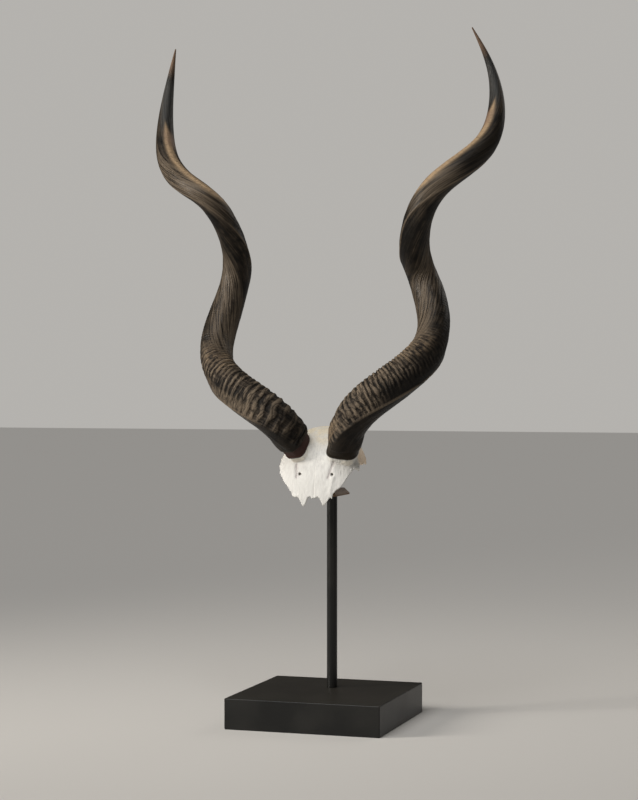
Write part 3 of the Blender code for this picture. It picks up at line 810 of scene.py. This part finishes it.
def dark_horn(name, length, root_colour, wear, outer_light):
    """Horn sheath: fibres run along it, crests are worn grey-brown and the troughs stay dark.

    Wear holds the heights where the worn colour starts and is full. Outer_light goes from 0, for a horn
    whose outer face is painted black as painted shade, to 1 for one painted taupe as painted light.
    """
    finish = Finish(name)
    growth = finish.node("ShaderNodeAttribute", {"attribute_name": "growth"}, {}, "Vector")
    height = finish.node("ShaderNodeAttribute", {"attribute_name": "height"}, {}, "Fac")
    lines = finish.node("ShaderNodeAttribute", {"attribute_name": "lines"}, {}, "Vector")
    round_x, round_y, along = finish.axes(growth)
    face, keel_line, crest_line = finish.axes(lines)
    skin = finish.node("ShaderNodeMapping", {}, {
        "Vector": growth, "Scale": (TYPICAL_RADIUS, TYPICAL_RADIUS, 1.0)})
    long_skin = finish.node("ShaderNodeMapping", {}, {
        "Vector": growth, "Scale": (TYPICAL_RADIUS, TYPICAL_RADIUS, FIBRE_LENGTH)})
    cross_skin = finish.node("ShaderNodeMapping", {}, {
        "Vector": growth, "Scale": (RING_WIDTH * TYPICAL_RADIUS, RING_WIDTH * TYPICAL_RADIUS, 1.0)})

    def towards(degrees):
        """1 on the face at this angle from the corkscrew's outside, -1 on the opposite one."""
        turn = math.radians(degrees)
        return round_x * math.cos(turn) + round_y * math.sin(turn)

    def patch(degrees, edge, *ends):
        """A face at this angle, faded at its edge and between the distances of each end."""
        mask = towards(degrees).ramp(*edge)
        for faded, full in ends:
            mask = mask * along.ramp(faded, full)
        return mask

    clouds = finish.grain(skin, 45.0, 4.0, 0.6)
    fibres = finish.grain(long_skin, 330.0, 5.0, 0.65)
    rings = finish.grain(cross_skin, 300.0, 3.0, 0.6)
    specks = finish.grain(skin, 900.0, 3.0, 0.6)

    lateral = patch(130, (-0.10, 0.10), (0.30, 0.24))
    ridged = face * along.ramp(0.34, 0.24)
    crest = (height + 0.25 * (specks - 0.5)).ramp(*wear)
    cracks = abs(finish.grain(cross_skin, 190.0, 2.0, 0.5) - 0.5).ramp(0.035, 0.0)
    pits = abs(finish.grain(long_skin, 520.0, 2.0, 0.5) - 0.5).ramp(0.030, 0.0)
    worn = crest * (1 - 0.8 * cracks) * (0.60 + 0.60 * clouds.ramp(0.38, 0.62)) * ridged
    # Painted shade: on the horn painted as lit, the ridges nearest the root lose their worn colour, as
    # they sit in shade.
    worn = worn * (1 - 0.60 * outer_light * along.ramp(0.110, 0.060))
    streaked = fibres.ramp(0.44, 0.68) * (0.20 + 0.80 * clouds.ramp(0.36, 0.64))
    streaked = streaked * (1 - 0.85 * lateral) * (1 - 0.7 * pits)
    inner = patch(-165, (0.15, 0.85), (0.20, 0.30), (0.56, 0.44))
    turned_out = along.ramp(0.54, 0.58) * along.ramp(0.70, 0.64)
    painted_shade_low = patch(60, (0.0, 0.5), (0.12, 0.16), (0.24, 0.18))
    painted_shade_high = patch(5, (0.0, 0.5), (0.18, 0.24)) * (1 - turned_out)
    low_face = patch(34, (0.70, 0.95), (0.09, 0.13), (0.27, 0.22))

    colour = finish.blend(clouds.ramp(0.35, 0.65), HORN_BLACK, HORN_UMBER)
    colour = finish.blend(0.45 * streaked, colour, HORN_TAUPE)
    colour = finish.blend(0.90 * worn, colour, HORN_TAUPE)
    colour = finish.blend(0.65 * inner * fibres.ramp(0.36, 0.58), colour, HORN_TAUPE)
    # Painted light: the upper faces of the third turn are painted taupe, as if lit from above.
    upper = patch(-12, (0.20, 0.75), (0.55, 0.61), (0.84, 0.72))
    colour = finish.blend(0.75 * upper * fibres.ramp(0.36, 0.58), colour, HORN_TAUPE)
    slate = patch(170, (-0.20, 0.60), (0.82, 0.86), (0.97, 0.92))
    colour = finish.blend(0.60 * slate * fibres.ramp(0.30, 0.60), colour, HORN_SLATE)
    # Painted light: on that horn the ringed lower face is painted taupe, as if lit.
    ringed = low_face * (1 - pits) * rings.ramp(0.38, 0.56)
    colour = finish.blend(0.70 * outer_light * ringed, colour, HORN_TAUPE)
    # Painted shade: on the horn whose outer face is painted in shade, the faces of the first turns that
    # look away from the light are painted black.
    colour = finish.blend(0.85 * (1 - outer_light) * (painted_shade_low + painted_shade_high), colour, HORN_BLACK)
    # Painted highlight: a pale line along the keel's edge.
    keel_highlight = keel_line.ramp(0.62, 1.0) * along.ramp(0.07, 0.12) * along.ramp(0.90, 0.70)
    colour = finish.blend(0.70 * keel_highlight * clouds.ramp(0.25, 0.50), colour, HORN_TAUPE)
    # Painted highlight: a tan line along the beaded lesser keel, where it catches light from above.
    crest_highlight = crest_line.ramp(0.14, 0.62) * (0.7 + 0.3 * rings.ramp(0.38, 0.50))
    colour = finish.blend(0.95 * crest_highlight, colour, HORN_TAN)
    # Painted highlight: tan on the first bend, where it catches the light.
    first_bend_highlight = patch(-95, (0.55, 0.98), (0.18, 0.22), (0.31, 0.25))
    # The third bend's inner face: its own tan, with a painted highlight over it.
    third_bend = patch(-165, (0.60, 0.95), (0.77, 0.80), (0.84, 0.81))
    colour = finish.blend(0.30 * first_bend_highlight * rings.ramp(0.44, 0.62), colour, HORN_TAN)
    colour = finish.blend(0.75 * third_bend * clouds.ramp(0.25, 0.50), colour, HORN_TIP)
    colour = finish.blend(0.80 * along.ramp(length - 0.070, length - 0.030), colour, HORN_TIP)
    root = along.ramp(NECK_HEIGHT + 0.002, NECK_HEIGHT - 0.002)
    colour = finish.blend(0.85 * root * clouds.ramp(0.20, 0.5), colour, root_colour)
    medial = patch(-5, (0.90, 0.99), (0.075, 0.045))
    colour = finish.blend(0.45 * (1 - outer_light) * medial * fibres.ramp(0.4, 0.6), colour, HORN_TAN)

    grain = fibres + 0.12 * specks - 0.6 * cracks * ridged - 0.2 * pits
    finish.surface(
        Base_Color=colour,
        Roughness=0.42 + 0.30 * ridged + 0.30 * (fibres - 0.5) + 0.10 * (clouds - 0.5),
        Specular_IOR_Level=HORN_SPECULAR,
        Normal=finish.relief(grain, HORN_GRAIN, 0.7))
    return finish


for name, side, rows, neck, wander, growth_ridges, seed, looks in (
        ("right_horn", 1, RIGHT_HORN, RIGHT_NECK, RIGHT_WANDER, RIGHT_RIDGES, RIGHT_SEED, RIGHT_LOOKS),
        ("left_horn", -1, LEFT_HORN, LEFT_NECK, LEFT_WANDER, LEFT_RIDGES, LEFT_SEED, LEFT_LOOKS)):
    horn, length = grow_horn(side, rows, neck, wander, growth_ridges, seed)
    finish = dark_horn("dark_" + name, length, *looks)
    settle(horn, name + "_sheath", finish, name)
    bpy.ops.object.select_all(action="DESELECT")


# Floor, light and camera
# A plain pale floor, a wide soft light from overhead and in front, and a tall soft strip at the
# front left that draws the long highlights on the horns and the rod.

CAMERA_PLACE = (1.153, -3.616, 0.652)
CAMERA_AIM = Vector((-0.3070, 0.9517, -0.0112))
CAMERA_LENS = 90.0
CAMERA_SENSOR = 36.0
FLOOR_SIZE = 40.0
FLOOR_COLOUR = (0.57, 0.55, 0.52)
SKY_COLOUR = (0.46, 0.447, 0.425)
SKY_LIGHT = 0.12
MIDDLE = Vector((0.0, 0.0, 0.75))
SUN_FROM = (-0.10, -0.64, 0.76)
SUN_STRENGTH = 2.0
SUN_ANGLE = math.radians(45)
LIGHT_SPREAD = math.radians(70)  # keeps the area lights off the floor near them
LIGHT_TINT = (1.0, 0.95, 0.88)
LIGHTS = (
    ("strip", (-2.9, -1.9, 1.7), (0.8, 1.6), 21.0),
    ("fill", (2.6, -2.4, 1.0), (2.0, 2.0), 0.6),
    ("back", (1.4, 2.4, 2.3), (1.6, 1.6), 2.5),
)

bpy.ops.mesh.primitive_plane_add(size=FLOOR_SIZE)
floor = bpy.context.object
floor.name = "floor"
floor_finish = Finish("pale_floor")
speckle = floor_finish.grain(floor_finish.place(), 60.0, 4.0)
floor_finish.surface(
    Base_Color=FLOOR_COLOUR, Roughness=0.75 + 0.1 * speckle,
    Normal=floor_finish.relief(speckle, 0.0004, 0.3))
floor.data.materials.append(floor_finish.material)

sky = bpy.data.worlds.new("studio")
sky.use_nodes = True
bpy.context.scene.world = sky
room = sky.node_tree.nodes["Background"]
room.inputs["Color"].default_value = (*SKY_COLOUR, 1.0)
room.inputs["Strength"].default_value = SKY_LIGHT
seen = sky.node_tree.nodes.new("ShaderNodeBackground")
seen.inputs["Color"].default_value = (*SKY_COLOUR, 1.0)
ray = sky.node_tree.nodes.new("ShaderNodeLightPath")
either = sky.node_tree.nodes.new("ShaderNodeMixShader")
sky.node_tree.links.new(ray.outputs["Is Camera Ray"], either.inputs[0])
sky.node_tree.links.new(room.outputs[0], either.inputs[1])
sky.node_tree.links.new(seen.outputs[0], either.inputs[2])
sky.node_tree.links.new(either.outputs[0], sky.node_tree.nodes["World Output"].inputs[0])

for name, place, size, power in LIGHTS:
    aim = (MIDDLE - Vector(place)).to_track_quat("-Z", "Y").to_euler()
    bpy.ops.object.light_add(type="AREA", location=place, rotation=aim)
    light = bpy.context.object
    light.name = name
    light.data.shape = "RECTANGLE"
    light.data.size, light.data.size_y = size
    light.data.energy = power
    light.data.spread = LIGHT_SPREAD
    light.data.color = LIGHT_TINT

bpy.ops.object.light_add(
    type="SUN", location=SUN_FROM, rotation=Vector(SUN_FROM).to_track_quat("Z", "Y").to_euler())
sun = bpy.context.object
sun.name = "overhead"
sun.data.energy = SUN_STRENGTH
sun.data.angle = SUN_ANGLE

bpy.ops.object.camera_add(
    location=CAMERA_PLACE, rotation=CAMERA_AIM.to_track_quat("-Z", "Y").to_euler())
camera = bpy.context.object
camera.data.lens = CAMERA_LENS
camera.data.sensor_width = CAMERA_SENSOR
bpy.context.scene.camera = camera
bpy.context.scene.view_settings.view_transform = "Standard"
